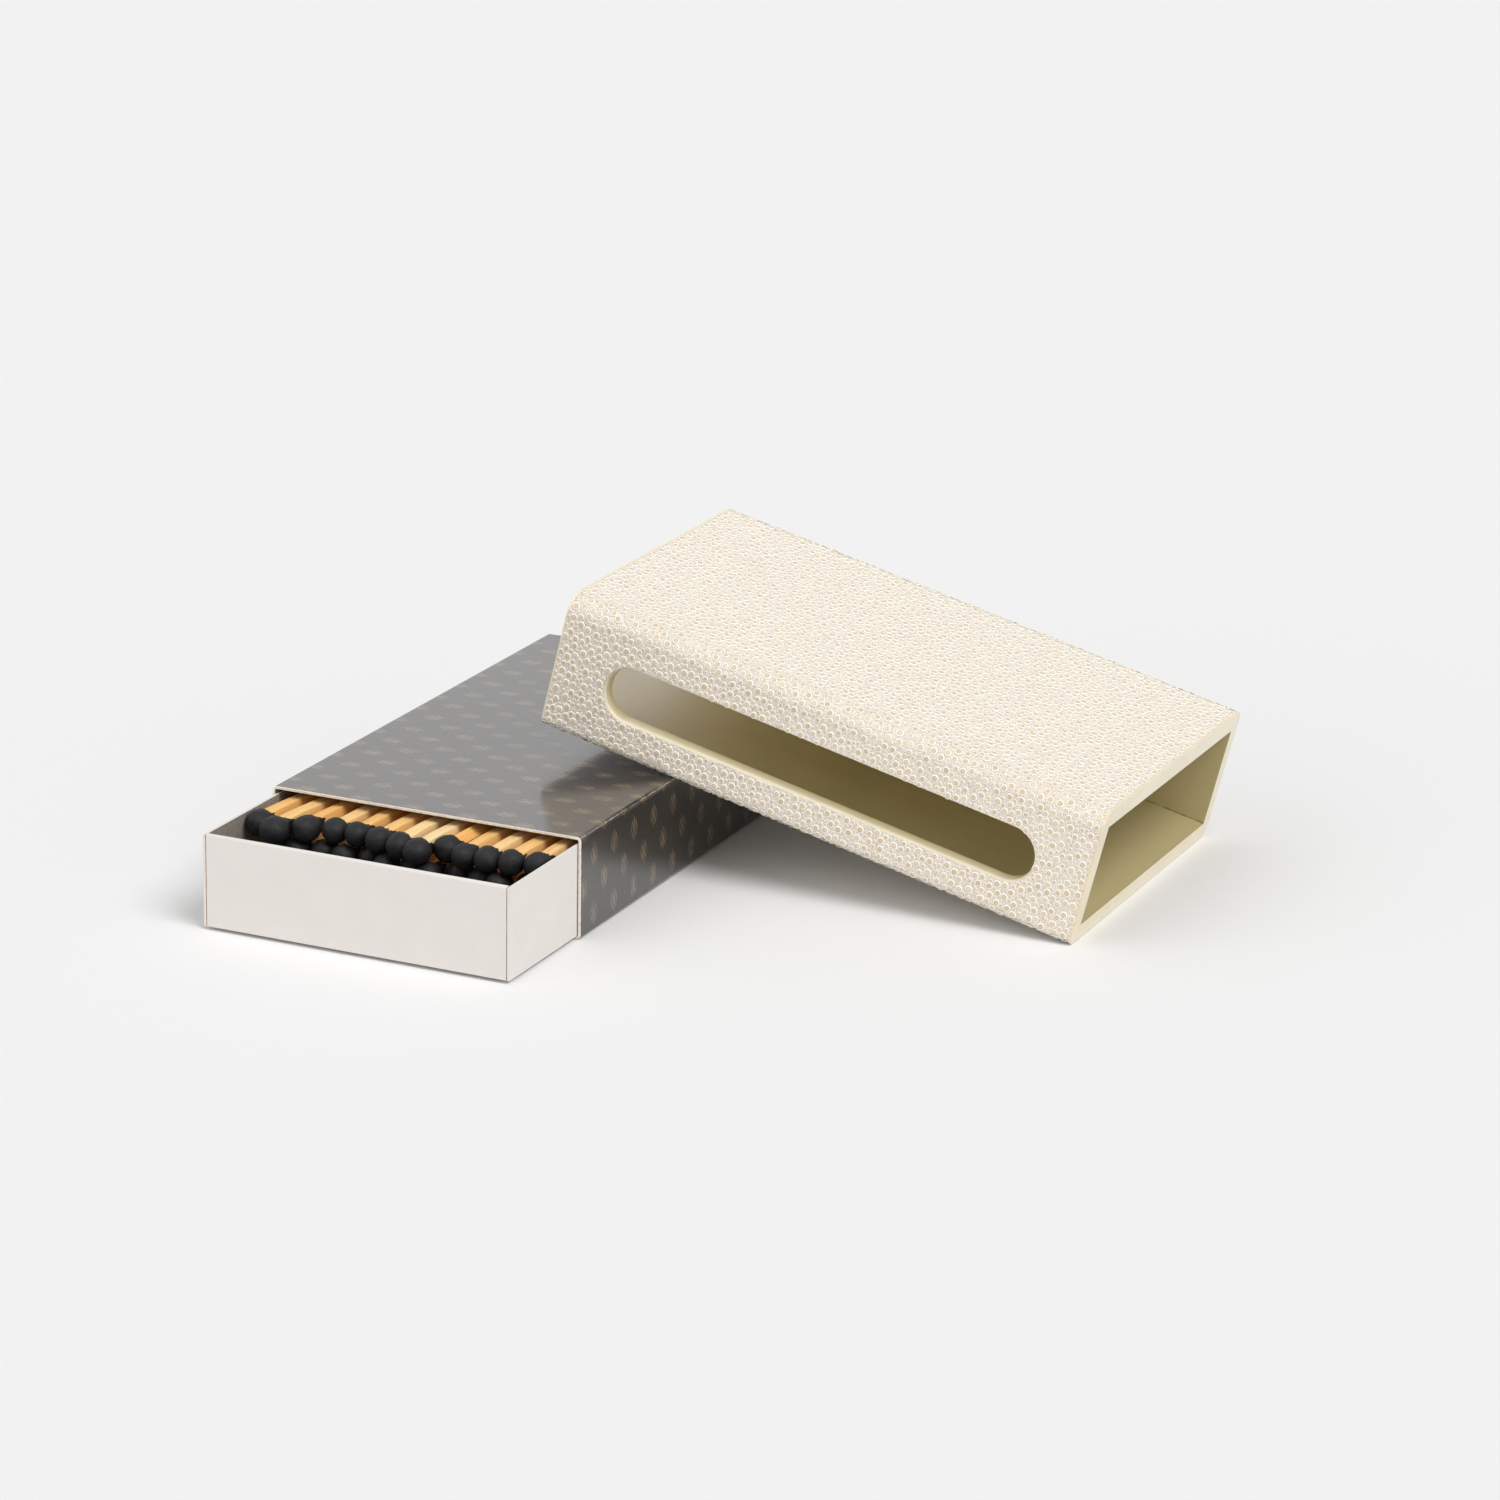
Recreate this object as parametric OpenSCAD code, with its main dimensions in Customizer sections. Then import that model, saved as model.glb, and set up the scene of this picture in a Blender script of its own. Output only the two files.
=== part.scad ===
// Matchbox holder: an open-ended resin sleeve with a shagreen wrap and a striking slot,
// shown with its box of long matches. The box lies flat with its tray drawn part way,
// and the holder leans with its base on the cover's right top edge.

/* [Matches] */
// Width and height of a square match stick
match_w = 2.4; // [2:0.1:2.8]
// Length of a match from the tip of its head to its tail
match_l = 92; // [80:1:100]
// Diameter of a match head
head_d = 4.5; // [4:0.1:5.2]
// Length of the head's straight middle, behind its round front
head_barrel = 2; // [0.5:0.1:2.4]
// Where the head's neck meets the stick, measured from the start of the straight middle
head_neck = 3.4; // [2.8:0.1:4.4]
// How far the stick reaches into the head's round front
stick_inset = 1; // [0.2:0.1:1.4]
// Gap between neighbouring heads in a row
head_gap = 0.08; // [0.05:0.01:0.2]
// Gap between the heads of one row and the row below
row_gap = 0.15; // [0.05:0.05:0.4]
// Gap between the tails of one row and the row below
tail_gap = 0.25; // [0.2:0.05:0.5]
// How much of the neck is bare cone beyond the corners of the stick
neck_cover = 0.12; // [0.05:0.01:0.3]

/* [Matchbox] */
// Thickness of the cover's board
cover_board = 0.5; // [0.4:0.1:1]
// Inner radius of the cover's folds
fold_r = 0.3; // [0.1:0.1:0.6]
// Thickness of the tray's board
tray_board = 0.5; // [0.3:0.1:0.8]
// Gap between the tray's sides and the cover
tray_side_gap = 0.2; // [0.2:0.1:0.8]
// Running gap under the tray
tray_lift = 0.1; // [0.05:0.05:0.3]
// Gap between the tray's rim and the cover's roof
rim_gap = 0.7; // [0.4:0.1:1.2]
// Gap between the top heads and the cover's roof
roof_play = 0.25; // [0.15:0.05:0.6]
// Gap between the outer heads of an evenly spread row and the tray's sides
side_play = 0.75; // [0.7:0.01:1.6]
// Gap under the lowest heads
floor_play = 0.05; // [0.02:0.01:0.2]
// Gap between the rearmost tails and the tray's back panel
tail_play = 1.3; // [0.2:0.1:2]
// Free space in front of the foremost heads
front_space = 9; // [4:0.1:16]
// How far the cover reaches past the closed tray at each end
cover_over = 0.2; // [0:0.1:1]
// How much lower the tray's side walls are than its end panels
side_drop = 0.25; // [0:0.05:0.6]
// Width and depth of the seams beside the tray's end panels
seam = 0.15; // [0.1:0.05:0.25]
// How far the tray is drawn out of the cover
tray_out = 26.5; // [1:0.5:70]
// Height of the striking strip
striker_h = 11; // [8:0.5:13]
// Thickness of the striking strip
striker_t = 0.12; // [0.05:0.01:0.2]
// Bare board at each end of the striking strip
striker_margin = 3; // [1:0.5:10]

/* [Holder] */
// Length of the holder
holder_l = 110.5; // [95:0.5:125]
// Thickness of the resin at the sides
shell_side = 2.9; // [2:0.1:4]
// Thickness of the resin at the base
shell_base = 2.9; // [2:0.1:4]
// Thickness of the resin at the top
shell_top = 3.3; // [2:0.1:4]
// Thickness of the shagreen
skin = 0.4; // [0.3:0.05:0.6]
// Width of the bare resin rim at each end, flush with the shagreen
rim_w = 0.5; // [0.3:0.1:1.5]
// Gap between the box and each side of the channel
box_gap_side = 0.4; // [0.3:0.05:1]
// Gap between the box and the top and the base of the channel
box_gap_high = 0.25; // [0.15:0.05:1]
// Rounding of the near top edge
round_near_top = 3.8; // [2:0.1:4.5]
// Rounding of the far top edge
round_far_top = 2.4; // [1.5:0.1:4]
// Rounding of the near base edge
round_near_base = 1.5; // [1.2:0.1:3]
// Rounding of the far base edge
round_far_base = 2.4; // [1.2:0.1:3]
// Gap where the ends of the wrap meet, under the base
wrap_seam = 0.2; // [0.1:0.05:0.5]

/* [Slot] */
// Length of the slot with its round ends
slot_l = 88.6; // [60:0.2:92]
// Height of the slot
slot_h = 10.4; // [6:0.2:12]
// Height of the slot's lower edge above the base
slot_low = 7; // [5:0.1:9]
// Rounding of the resin round the slot
slot_round = 0.6; // [0.2:0.1:1.2]
// Bare resin between the slot and the edge of the shagreen
slot_reveal = 0.4; // [0.1:0.05:1]

/* [Pose] */
// Lean of the holder in degrees
lean = 13.6; // [8:0.1:18]
// How far the holder's near side lies behind the cover's front
holder_back = 38; // [20:0.5:45]
// Gap where the holder's base rests on the cover's edge
rest_gap = 0.05; // [0.02:0.01:0.3]

/* [Hidden] */
$fn = 64;
// Overshoot of a cutting shape past the face that it cuts
eps = 1;

// Matches in the wide rows, with the narrow rows one fewer, and the rows counted from the floor
wide = 13;
rows = 4;

// How the top matches lie, from left to right: how far each stands back from the foremost,
// its small shift to the side, and its turn about its own length in degrees
top_back = [2.8, 0, 3.6, 5.2, 5.4, 4.3, 3.2, 1.5, 6.3, 3.7, 3.9, 4.4, 5.5];
top_shift = [-0.6, -0.6, -0.6, 0, 0, 0.5, 0.5, 0.5, -0.3, -0.3, -0.3, -0.3, -0.3];
top_roll = [0, 3, -4, 2, -3, 0, 4, -2, 4, -4, 0, 3, -3];
// How far back the matches below lie, in turn, and where in this list each next row starts
low_back = [4.4, 6.1, 3.2, 5.3, 2.6, 5.8, 4.9, 3.4, 6.3, 4.1, 5.6, 3, 4.7];
low_start = 5;
back_span = max(max(top_back), max(low_back));
shift_span = max([for (s = top_shift) abs(s)]);

// How far the tails of each row are pushed to the right, from the floor up, and the space between them
row_drift = [0, 1.2, -2, 3];
tail_space = 1.9;
tail_pitch = match_w + tail_space;

// Heads nest in the hollows of the row below
head_r = head_d / 2;
head_pitch = head_d + head_gap;
nest = head_pitch / 2 - shift_span;
row_rise = sqrt(pow(head_d + row_gap, 2) - nest * nest);
stack_h = head_d + (rows - 1) * row_rise;
neck_r = match_w / sqrt(2) + neck_cover;
// A stick turned about its length by the largest roll reaches this far up and down
roll_max = max([for (r = top_roll) abs(r)]);
stick_half = match_w / 2 * (cos(roll_max) + sin(roll_max));
stick_l = match_l - head_r + stick_inset;

// Tray and cover
end_t = 2 * tray_board;
inner_w = wide * head_pitch + 2 * side_play;
inner_l = match_l + back_span + tail_play + front_space;
tray_w = inner_w + 2 * tray_board;
tray_l = inner_l + 2 * end_t;
box_w = tray_w + 2 * (tray_side_gap + cover_board);
box_l = tray_l + 2 * cover_over;
box_h = 2 * cover_board + tray_lift + tray_board + floor_play + stack_h + roof_play;
tray_h = box_h - 2 * cover_board - tray_lift - rim_gap;
tray_z = cover_board + tray_lift;
tray_front = cover_over - tray_out;
match_floor = tray_z + tray_board + floor_play;
// Heads of the foremost matches, and the middle of each row at its heads and at its tails
first_head_y = tray_front + end_t + front_space + head_r;
last_tail_y = first_head_y + back_span + match_l - head_r;
function head_z(row) = match_floor + head_r + row * row_rise;
function tail_z(row) = match_floor + stick_half + row * (2 * stick_half + tail_gap);
function row_slope(row) = (head_z(row) - tail_z(row)) / (last_tail_y - first_head_y);

// Holder
channel_w = box_w + 2 * box_gap_side;
channel_h = box_h + 2 * box_gap_high;
wall_side = shell_side + skin;
wall_base = shell_base + skin;
holder_w = channel_w + 2 * wall_side;
holder_h = channel_h + wall_base + shell_top + skin;
// The base touches the round of the cover's right top edge, and the right end stands on the floor
cover_r = fold_r + cover_board;
reach = (box_w / 2 - cover_r) * sin(lean) + (box_h - cover_r) * cos(lean) + cover_r + rest_gap;
holder_foot = reach / sin(lean);

// The middle of the whole, so that it stands on the origin
low_x = -box_w / 2 - striker_t;
high_x = holder_foot + holder_h * sin(lean);
high_y = max(box_l, holder_back + holder_w);
middle_x = (low_x + high_x) / 2;
middle_y = (tray_front + high_y) / 2;

function two_digits(n) = n < 10 ? str("0", n) : str(n);
function stick_name(i) = str("match_", two_digits(i + 1), "_stick");
function head_name(i) = str("match_", two_digits(i + 1), "_head");
row_names = ["bottom_row", "second_row", "third_row"];
MATCH_NODES = [for (i = [0:wide - 1]) each [stick_name(i), head_name(i)]];
ROW_NODES = [for (r = row_names) each [str(r, "_sticks"), str(r, "_heads")]];

// Places

// The box stands with the middle of its cover's front edge here
module at_box() {
    translate([-middle_x, -middle_y, 0]) children();
}

// The holder's own axes: its length to the right, its width away, its base down, its right end at 0
module at_holder() {
    at_box()
        translate([holder_foot, holder_back, 0])
            rotate([0, lean, 0])
                translate([-holder_l, 0, 0]) children();
}

// Holder

// A rectangle with its own radius at each corner: near base, far base, far top, near top
module four_rounds(w, h, r) {
    difference() {
        square([w, h]);
        square([r[0], r[0]]);
        translate([w - r[1], 0]) square([r[1], r[1]]);
        translate([w - r[2], h - r[2]]) square([r[2], r[2]]);
        translate([0, h - r[3]]) square([r[3], r[3]]);
    }
    translate([r[0], r[0]]) circle(r[0]);
    translate([w - r[1], r[1]]) circle(r[1]);
    translate([w - r[2], h - r[2]]) circle(r[2]);
    translate([r[3], h - r[3]]) circle(r[3]);
}

// Cross-section of the holder, drawn in by the given depth
module holder_section(depth) {
    r = [round_near_base, round_far_base, round_far_top, round_near_top];
    translate([depth, depth])
        four_rounds(holder_w - 2 * depth, holder_h - 2 * depth, [for (x = r) x - depth]);
}

// A stretch of a section along the holder's length
module along(start, length) {
    translate([start, 0, 0])
        rotate([90, 0, 90])
            linear_extrude(length) children();
}

// A round-ended bar through the near wall, grown all round by the given amount
module slot_bar(grow) {
    r = slot_h / 2 + grow;
    half = slot_l / 2 - slot_h / 2;
    translate([holder_l / 2, -eps, slot_low + slot_h / 2])
        rotate([-90, 0, 0])
            linear_extrude(eps + wall_side + eps) {
                square([2 * half, 2 * r], center = true);
                translate([-half, 0]) circle(r);
                translate([half, 0]) circle(r);
            }
}

// What rounds over the resin at the slot's mouth: the profile is distance from the middle and depth
module mouth_profile() {
    difference() {
        translate([0, -eps]) square([slot_h / 2 + slot_round, slot_round + eps]);
        translate([slot_h / 2 + slot_round, slot_round]) circle(slot_round);
        translate([slot_h / 2 + slot_round, -eps]) square([slot_round, eps + slot_round]);
    }
}

module slot_mouth() {
    half = slot_l / 2 - slot_h / 2;
    translate([holder_l / 2, skin, slot_low + slot_h / 2])
        rotate([-90, 0, 0]) {
            for (side = [-1, 1])
                translate([side * half, 0, 0]) rotate_extrude() mouth_profile();
            for (turn = [0, 180])
                rotate([0, 0, turn])
                    translate([-half, 0, 0])
                        rotate([90, 0, 90])
                            linear_extrude(2 * half) mouth_profile();
        }
}

module holder_shell() {
    color("#e9e2c4")
        at_holder() difference() {
            union() {
                along(0, holder_l) holder_section(skin);
                along(0, rim_w) holder_section(0);
                along(holder_l - rim_w, rim_w) holder_section(0);
            }
            translate([-eps, wall_side, wall_base])
                cube([holder_l + 2 * eps, channel_w, channel_h]);
            slot_bar(0);
            slot_mouth();
        }
}

module shagreen_wrap() {
    color("#efe6d6")
        at_holder() difference() {
            along(rim_w, holder_l - 2 * rim_w)
                difference() {
                    holder_section(0);
                    holder_section(skin);
                    translate([holder_w / 2 - wrap_seam / 2, -eps]) square([wrap_seam, eps + 2 * skin]);
                }
            slot_bar(slot_reveal);
        }
}

// Matchbox

module rounded_square(w, h, r) {
    four_rounds(w, h, [r, r, r, r]);
}

module box_cover() {
    color("#55514e")
        at_box() translate([-box_w / 2, box_l, 0])
            rotate([90, 0, 0])
                linear_extrude(box_l) difference() {
                    rounded_square(box_w, box_h, cover_r);
                    translate([cover_board, cover_board])
                        rounded_square(box_w - 2 * cover_board, box_h - 2 * cover_board, fold_r);
                }
}

module striker_strip() {
    color("#4a3a34")
        at_box() translate([-box_w / 2 - striker_t, striker_margin, (box_h - striker_h) / 2])
            cube([striker_t, box_l - 2 * striker_margin, striker_h]);
}

// One of the tray's end panels: doubled board whose fold is its rounded rim
module end_panel() {
    cube([inner_w, end_t, tray_h - tray_board]);
    translate([0, tray_board, tray_h - tray_board])
        rotate([0, 90, 0]) cylinder(h = inner_w, r = tray_board);
}

module match_tray() {
    color("#e4deda")
        at_box() translate([-tray_w / 2, tray_front, tray_z]) difference() {
            union() {
                cube([tray_w, tray_l, tray_board]);
                for (x = [0, tray_w - tray_board])
                    translate([x, 0, 0]) cube([tray_board, tray_l, tray_h - side_drop]);
                translate([tray_board, 0, 0]) end_panel();
                translate([tray_board, tray_l - end_t, 0]) end_panel();
            }
            // The seams between the side walls and the end panels
            for (x = [tray_board, tray_w - tray_board - seam], y = [-eps, tray_l - seam])
                translate([x, y, -eps]) cube([seam, eps + seam, tray_h + 2 * eps]);
        }
}

// Matches

// Puts a match's own axes in place: its head's middle at the origin and its stick along +Y
module at_match(x, back, row, tail_x, roll) {
    y = first_head_y + back;
    z = head_z(row) - back * row_slope(row);
    yaw = atan((tail_x - x) / (match_l - head_r));
    dip = atan(row_slope(row) * cos(yaw));
    at_box() translate([x, y, z])
        rotate([-dip, 0, -yaw]) rotate([0, roll, 0]) children();
}

module stick() {
    color("#e3ab62")
        translate([-match_w / 2, -stick_inset, -match_w / 2]) cube([match_w, stick_l, match_w]);
}

// A head with a round front, a straight middle and a neck that runs down to the stick
module head() {
    color("#2b2b2c")
        difference() {
            rotate([-90, 0, 0]) {
                sphere(head_r);
                cylinder(h = head_barrel, r = head_r);
                translate([0, 0, head_barrel])
                    cylinder(h = head_neck - head_barrel, r1 = head_r, r2 = neck_r);
            }
            translate([-match_w / 2, -stick_inset, -match_w / 2]) cube([match_w, stick_l, match_w]);
        }
}

function top_x(i) = (i - (wide - 1) / 2) * head_pitch + top_shift[i];
function top_tail_x(i) = (i - (wide - 1) / 2) * tail_pitch + row_drift[rows - 1];

module at_top_match(i) {
    at_match(top_x(i), top_back[i], rows - 1, top_tail_x(i), top_roll[i]) children();
}

// Rows above the floor alternate between one fewer and the full number of matches
function row_count(row) = (rows - 1 - row) % 2 == 0 ? wide : wide - 1;

module at_row(row) {
    n = row_count(row);
    for (i = [0:n - 1])
        at_match((i - (n - 1) / 2) * head_pitch, low_back[(i + low_start * row) % wide], row,
                 (i - (n - 1) / 2) * tail_pitch + row_drift[row], 0) children();
}

holder_shell();
shagreen_wrap();
box_cover();
striker_strip();
match_tray();
for (i = [0:wide - 1]) {
    at_top_match(i) stick();
    at_top_match(i) head();
}
for (r = [0:rows - 2]) {
    at_row(r) stick();
    at_row(r) head();
}
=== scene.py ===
import math
import random

import bmesh
import bpy
import numpy as np
from bpy.props import FloatProperty, FloatVectorProperty, IntProperty, PointerProperty
from mathutils import Matrix, Vector, noise


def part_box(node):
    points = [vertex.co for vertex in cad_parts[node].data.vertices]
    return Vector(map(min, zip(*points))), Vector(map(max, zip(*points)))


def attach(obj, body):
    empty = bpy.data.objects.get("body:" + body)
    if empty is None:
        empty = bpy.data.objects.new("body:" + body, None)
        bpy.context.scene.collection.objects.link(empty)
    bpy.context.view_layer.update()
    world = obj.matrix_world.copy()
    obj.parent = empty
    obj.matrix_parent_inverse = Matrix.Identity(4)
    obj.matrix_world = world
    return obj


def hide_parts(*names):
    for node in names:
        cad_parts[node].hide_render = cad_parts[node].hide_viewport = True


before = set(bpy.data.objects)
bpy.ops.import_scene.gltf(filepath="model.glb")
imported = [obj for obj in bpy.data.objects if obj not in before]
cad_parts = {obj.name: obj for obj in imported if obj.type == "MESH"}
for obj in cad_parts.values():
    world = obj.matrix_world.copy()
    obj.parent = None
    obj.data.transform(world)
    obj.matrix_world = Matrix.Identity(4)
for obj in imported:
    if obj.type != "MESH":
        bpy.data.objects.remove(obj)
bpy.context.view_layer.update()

bl_info = {
    "name": "Matchbox holder",
    "version": (1, 0, 0),
    "blender": (4, 5, 0),
    "location": "3D View > Sidebar > Matchbox",
    "description": "Shagreen-wrapped resin matchbox holder with its part-open box of long matches",
    "category": "Add Mesh",
}

MM = 0.001


def tint(code):
    """A linear colour from the usual six-digit code."""
    parts = [int(code[i:i + 2], 16) / 255 for i in (0, 2, 4)]
    return tuple(c / 12.92 if c <= 0.04045 else ((c + 0.055) / 1.055) ** 2.4 for c in parts)


# Settings

def colour(name, code, about):
    return FloatVectorProperty(name=name, description=about, subtype="COLOR", size=3, min=0, max=1, default=tint(code))


def length(name, mm, about):
    return FloatProperty(name=name, description=about, subtype="DISTANCE", unit="LENGTH", default=mm * MM, precision=5)


class StageSettings(bpy.types.PropertyGroup):
    """Floor, light and camera"""
    floor: colour("Floor", "F2F2F2", "Colour of the floor and the background")
    sky: FloatProperty(name="Sky light", description="Strength of the even light from all round", default=0.48, min=0)
    key: FloatProperty(name="Key light", description="Strength of the soft key light from above", default=1.8, min=0)
    fill: FloatProperty(name="Front light", description="Strength of the soft light from the front", default=0.66, min=0)
    side: FloatProperty(name="Left light", description="Strength of the weak light from above on the left", default=0.2, min=0)
    lens: FloatProperty(name="Lens", description="Focal length on a 36 mm sensor", default=125.73, min=10)


class HolderSettings(bpy.types.PropertyGroup):
    """Resin sleeve and shagreen"""
    resin: colour("Resin", "F1E6CC", "Colour of the resin where it is ground, at the rims and the slot")
    channel: colour("Channel", "D5C796", "Colour of the channel's walls")
    ground: colour("Shagreen ground", "F4ECE0", "Colour of the skin between the pearls")
    pearl: colour("Pearl", "DFC7A2", "Colour of the flat tops of the pearls")
    pearl_edge: colour("Pearl edge", "FFFCF7", "Colour of the ring round each pearl")
    largest: length("Largest pearl", 0.78, "Radius of the largest pearls, with their ring")
    relief: length("Pearl relief", 0.085, "How far the pearls stand above the skin between them")
    seed: IntProperty(name="Pearl seed", description="Picks the scatter of the pearls", default=7)


class BoxSettings(bpy.types.PropertyGroup):
    """Cover, tray and striking strip"""
    print_ground: colour("Printed board", "241E18", "Ground colour of the cover's print")
    print_motif: colour("Motif", "9A8262", "Colour of the small printed lozenges")
    raw_edge: colour("Raw edge", "F1E6DA", "Colour of the board's cut edges")
    inside: colour("Inside", "989086", "Colour of the board's inner face")
    paper: colour("Tray paper", "E6E0DB", "Colour of the tray")
    striker: colour("Striker", "3A2A26", "Colour of the striking surface")
    soft: length("Edge rounding", 0.12, "Rounding of the board's edges")


class MatchSettings(bpy.types.PropertyGroup):
    """Matches"""
    wood: colour("Wood", "FFCB7C", "Usual colour of the sticks")
    wood_pale: colour("Pale wood", "FFE9B8", "Colour of the palest sticks")
    compound: colour("Head", "1B1B1D", "Colour of the match heads")
    seed: IntProperty(name="Match seed", description="Picks the small differences between matches", default=3)


class MatchboxSettings(bpy.types.PropertyGroup):
    """All settings of the matchbox holder"""
    stage: PointerProperty(type=StageSettings)
    holder: PointerProperty(type=HolderSettings)
    box: PointerProperty(type=BoxSettings)
    matches: PointerProperty(type=MatchSettings)


# Materials

class Finish:
    """A procedural material and short calls that add its nodes."""

    def __init__(self, name, base=(0.8, 0.8, 0.8), roughness=0.5, **sockets):
        self.material = bpy.data.materials.new(name)
        self.material.use_nodes = True
        self.tree = self.material.node_tree
        self.shader = self.tree.nodes["Principled BSDF"]
        self.put("Base Color", (*base, 1))
        self.put("Roughness", roughness)
        for socket, value in sockets.items():
            self.put(socket.replace("_", " "), value)
        self.coords = self.add("ShaderNodeTexCoord")

    def put(self, socket, value):
        self.plug(self.shader, socket, value)

    def plug(self, node, socket, value):
        if isinstance(value, bpy.types.NodeSocket):
            self.tree.links.new(value, node.inputs[socket])
        else:
            node.inputs[socket].default_value = value

    def add(self, kind, inputs=(), **attributes):
        node = self.tree.nodes.new(kind)
        for key, value in attributes.items():
            setattr(node, key, value)
        for socket, value in dict(inputs).items():
            self.plug(node, socket, value)
        return node

    def math(self, operation, a, b=0.0, c=0.0, clamp=False):
        return self.add("ShaderNodeMath", {0: a, 1: b, 2: c}, operation=operation, use_clamp=clamp).outputs[0]

    def vector(self, operation, a, b=(0, 0, 0)):
        return self.add("ShaderNodeVectorMath", {0: a, 1: b}, operation=operation).outputs[0]

    def step(self, value, low, high, out_low=0.0, out_high=1.0):
        """A smooth step of value from low to high."""
        return self.add("ShaderNodeMapRange", {0: value, 1: low, 2: high, 3: out_low, 4: out_high},
                        interpolation_type="SMOOTHSTEP").outputs[0]

    def between(self, value, low, high):
        return self.math("MULTIPLY", self.math("GREATER_THAN", value, low), self.math("LESS_THAN", value, high))

    def scaled(self, source, scale, turn=(0, 0, 0)):
        return self.add("ShaderNodeMapping", {"Vector": source, "Scale": scale, "Rotation": turn}).outputs[0]

    def noise(self, source, scale, detail=3.0, roughness=0.5, distortion=0.0):
        return self.add("ShaderNodeTexNoise", {"Vector": source, "Scale": scale, "Detail": detail,
                                               "Roughness": roughness, "Distortion": distortion}).outputs[0]

    def cells(self, source, scale, feature="F1", randomness=1.0):
        return self.add("ShaderNodeTexVoronoi", {"Vector": source, "Scale": scale, "Randomness": randomness},
                        feature=feature)

    def mix(self, factor, a, b, blend="MIX"):
        node = self.add("ShaderNodeMix", data_type="RGBA", blend_type=blend)
        for socket, value in ((node.inputs[0], factor), (node.inputs[6], a), (node.inputs[7], b)):
            if isinstance(value, bpy.types.NodeSocket):
                self.tree.links.new(value, socket)
            elif isinstance(value, (int, float)):
                socket.default_value = value
            else:
                socket.default_value = (*value[:3], 1)
        return node.outputs[2]

    def bump(self, height, strength, distance, under=None):
        inputs = {"Height": height, "Strength": strength, "Distance": distance}
        if under is not None:
            inputs["Normal"] = under
        normal = self.add("ShaderNodeBump", inputs).outputs[0]
        self.put("Normal", normal)
        return normal

    @property
    def place(self):
        return self.coords.outputs["Object"]

    @property
    def uv(self):
        return self.coords.outputs["UV"]


def shade(c, k):
    return tuple(min(1, x * k) for x in c)


def resin_finish(s):
    """Ground resin: cream at the rims and the slot, deeper in the channel, and stained tan beside the skin's cut ends.
    The channel has painted light that pales it towards the high end's mouth and painted shade that darkens it towards
    the low end's mouth. It is also darker along the corners between its walls and floor.
    """
    f = Finish("cream_resin", s.resin, 0.33, Coat_Weight=0.15, Coat_Roughness=0.25)
    away = TO_HOLDER.inverted()
    own = f.add("ShaderNodeMapping", {"Vector": f.place, "Location": away.to_translation() / MM, "Scale": (1 / MM,) * 3,
                                      "Rotation": away.to_euler()}).outputs[0]
    split = f.add("ShaderNodeSeparateXYZ", {0: own})
    along, wide, high = split.outputs
    wall, roof = SHELL_WALL - 0.04, HOLDER_HEIGHT - SHELL_ROOF + 0.04
    inside = f.math("MULTIPLY", f.between(wide, wall, HOLDER_WIDTH - wall), f.between(high, wall, roof))
    end = f.math("ABSOLUTE", f.math("SUBTRACT", along, HOLDER_LENGTH / 2))
    ragged = f.math("ADD", end, f.math("MULTIPLY", f.noise(own, 2.2, 3), 0.3))
    stain = f.math("MULTIPLY", f.between(end, HOLDER_LENGTH / 2 - 0.6, HOLDER_LENGTH / 2 - 0.02),
                   f.step(ragged, HOLDER_LENGTH / 2 - 0.02, HOLDER_LENGTH / 2 + 0.12, 1, 0))
    cloud = f.noise(f.place, 90, 4, 0.55)
    face = f.mix(f.step(cloud, 0.3, 0.75), shade(s.resin, 0.95), shade(s.resin, 1.03))
    through = f.math("MULTIPLY", f.between(along, 8, HOLDER_LENGTH - 8), f.step(wide, 0.4, SHELL_WALL))
    face = f.mix(through, face, tint("E2D5A6"))
    stain = f.math("MULTIPLY", stain, f.step(along, HOLDER_LENGTH * 0.4, HOLDER_LENGTH * 0.6, 0.1, 0.6))
    face = f.mix(stain, face, tint("E6CFA6"))
    deep = f.mix(f.step(cloud, 0.3, 0.75), shade(s.channel, 0.95), shade(s.channel, 1.03))
    # Painted light: the channel pales to the rims' cream towards the high end's mouth, where light comes in.
    deep = f.mix(f.step(along, 6, 38, 1, 0), deep, shade(s.resin, 1.0))
    # Painted shade: the channel darkens towards the low end's mouth.
    deep = f.mix(f.step(along, HOLDER_LENGTH - 45, HOLDER_LENGTH - 8, 0, 0.9), deep, tint("BEB184"))
    # Darker along the corners between the channel's side walls and its floor.
    far = f.math("ABSOLUTE", f.math("SUBTRACT", wide, HOLDER_WIDTH / 2))
    corner = f.math("MAXIMUM", f.math("SUBTRACT", HOLDER_WIDTH / 2 - SHELL_WALL, far), f.math("SUBTRACT", high, SHELL_WALL))
    corner_darkening = f.step(f.math("ADD", corner, f.math("MULTIPLY", f.noise(own, 0.9, 4), 0.6)), 0.28, 0.56, 0.75, 0)
    deep = f.mix(corner_darkening, deep, tint("6E5A30"))
    f.put("Base Color", f.mix(inside, face, deep))
    f.put("Roughness", f.step(f.noise(f.place, 600, 3), 0.2, 0.8, 0.27, 0.42))
    f.bump(f.noise(f.scaled(f.place, (1, 1, 2)), 420, 4, 0.6), 0.25, 0.00008)
    return f.material


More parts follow.
